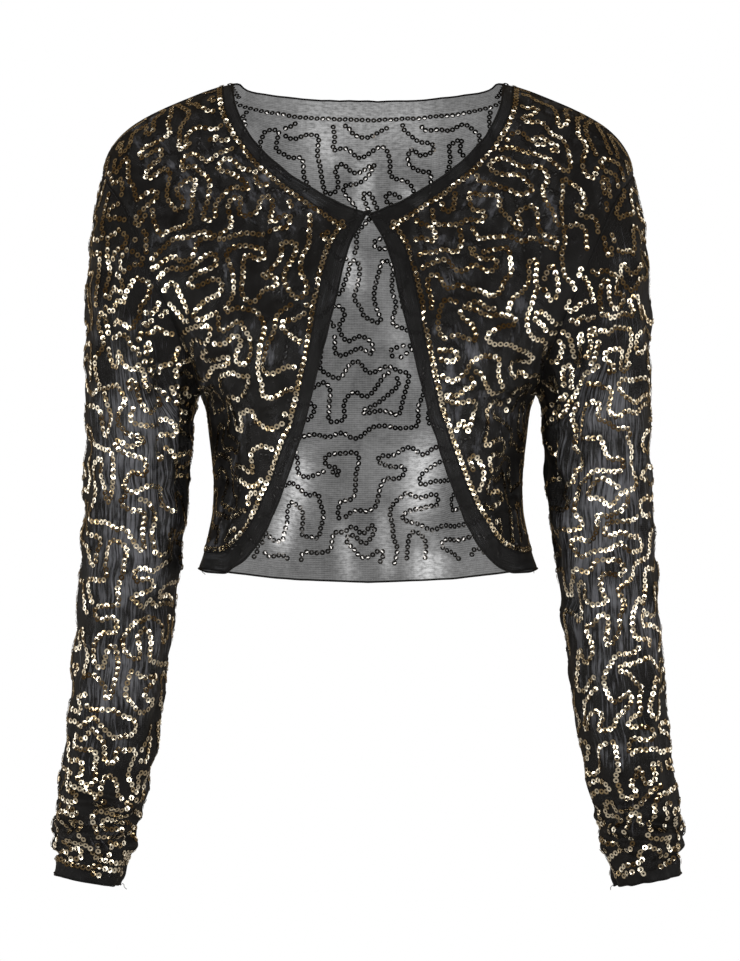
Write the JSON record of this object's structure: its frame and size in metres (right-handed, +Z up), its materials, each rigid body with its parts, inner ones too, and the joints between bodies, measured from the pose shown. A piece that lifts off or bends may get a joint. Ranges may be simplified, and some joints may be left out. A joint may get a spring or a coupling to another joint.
{
  "type": "shrug",
  "caption": "Cropped, long-sleeved, open-front shrug in black sheer mesh with meandering gold ring sequins, plain mesh bands and one hook closure at the neck, filled out as worn.",
  "frame": {"origin": "between the shoulders on the middle plane, level with the sides of the neck opening, where the wearer's shoulders hold the garment", "axes": "+X to the wearer's left, the front faces -Y, +Z up"},
  "size_m": [0.5008, 0.1986, 0.6356],
  "materials": {
    "sequinned_mesh": "sheer black knitted mesh, its outside sewn with meandering rows of gold ring sequins whose backs are black",
    "plain_mesh_band": "plain black mesh, doubled, with a thin rolled edge",
    "black_hook_metal": "black-coated wire hook and eye"
  },
  "bodies": {
    "root": {"back_panel": "sequinned_mesh", "front_panel_left": "sequinned_mesh", "front_panel_right": "sequinned_mesh", "sleeve_left": "sequinned_mesh", "sleeve_right": "sequinned_mesh", "back_neck_band": "plain_mesh_band", "back_hem_band": "plain_mesh_band", "neck_band_left": "plain_mesh_band", "neck_band_right": "plain_mesh_band", "front_band_left": "plain_mesh_band", "front_band_right": "plain_mesh_band", "cuff_band_left": "plain_mesh_band", "cuff_band_right": "plain_mesh_band", "hook": "black_hook_metal", "eye": "black_hook_metal"}
  },
  "joints": []
}
